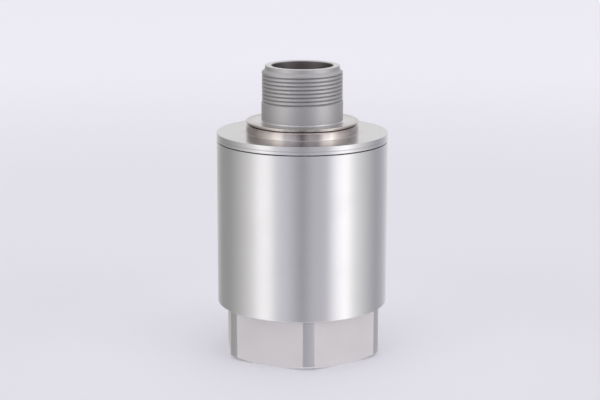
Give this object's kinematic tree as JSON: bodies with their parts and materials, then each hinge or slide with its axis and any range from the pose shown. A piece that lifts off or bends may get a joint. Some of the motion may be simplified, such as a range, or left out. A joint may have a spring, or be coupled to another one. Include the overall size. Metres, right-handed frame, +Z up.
{
  "type": "vibration velocity sensor",
  "caption": "Round steel moving-coil vibration velocity sensor with a hexagon foot, a welded lid and a threaded connector on top.",
  "frame": {"origin": "middle of the foot's bottom face, on the sensor's axis", "axes": "+Z up along the sensing axis, from the foot to the connector; one corner of the hexagon points along -Y"},
  "size_m": [0.034, 0.034, 0.0578],
  "materials": {
    "stainless_steel": "satin",
    "nickel_plate": "satin",
    "soft_iron": "satin",
    "magnet_alloy": "satin",
    "aluminium": "satin",
    "enamelled_copper": "satin",
    "spring_bronze": "satin",
    "black_plastic": "matte",
    "brown_insulator": "matte",
    "seal_rubber": "matte",
    "gold_plate": "polished",
    "board_laminate": "satin",
    "resistor_lacquer": "satin",
    "lead_red": "satin",
    "lead_black": "satin"
  },
  "bodies": {
    "sensor_body": {"housing": "stainless_steel", "top_cover": "stainless_steel", "cover_seal_ring": "seal_rubber", "connector_shell": "nickel_plate", "connector_insert": "brown_insulator", "insert_lock_ring": "nickel_plate", "contact_pin_1": "gold_plate", "contact_pin_2": "gold_plate", "contact_pin_3": "gold_plate", "contact_pin_4": "gold_plate", "element_case": "stainless_steel", "cap_lower": "black_plastic", "cap_upper": "black_plastic", "cap_seal_ring_lower": "seal_rubber", "cap_seal_ring_upper": "seal_rubber", "element_terminal_1": "gold_plate", "element_terminal_2": "gold_plate", "magnet": "magnet_alloy", "pole_piece_lower": "soft_iron", "pole_piece_upper": "soft_iron", "leaf_spring_lower": "spring_bronze", "leaf_spring_upper": "spring_bronze", "cushion_ring": "seal_rubber", "clamp_ring": "stainless_steel", "terminal_board": "board_laminate", "board_screw_1": "stainless_steel", "board_screw_2": "stainless_steel", "board_screw_3": "stainless_steel", "resistor_1": "resistor_lacquer", "resistor_2": "resistor_lacquer", "signal_lead_1": "lead_red", "signal_lead_2": "lead_black"},
    "moving_coil": {"coil_former": "aluminium", "coil_lower": "enamelled_copper", "coil_upper": "enamelled_copper", "clamp_washer_lower": "spring_bronze", "clamp_washer_upper": "spring_bronze"}
  },
  "joints": [
    {"name": "coil_travel", "type": "slide", "parent": "sensor_body", "child": "moving_coil", "axis": [0, 0, 1], "range_m": [-0.001, 0.001], "stiffness_N_per_m": 32.8, "springref_m": 0.00248, "deforming": ["leaf_spring_lower", "leaf_spring_upper"]}
  ]
}
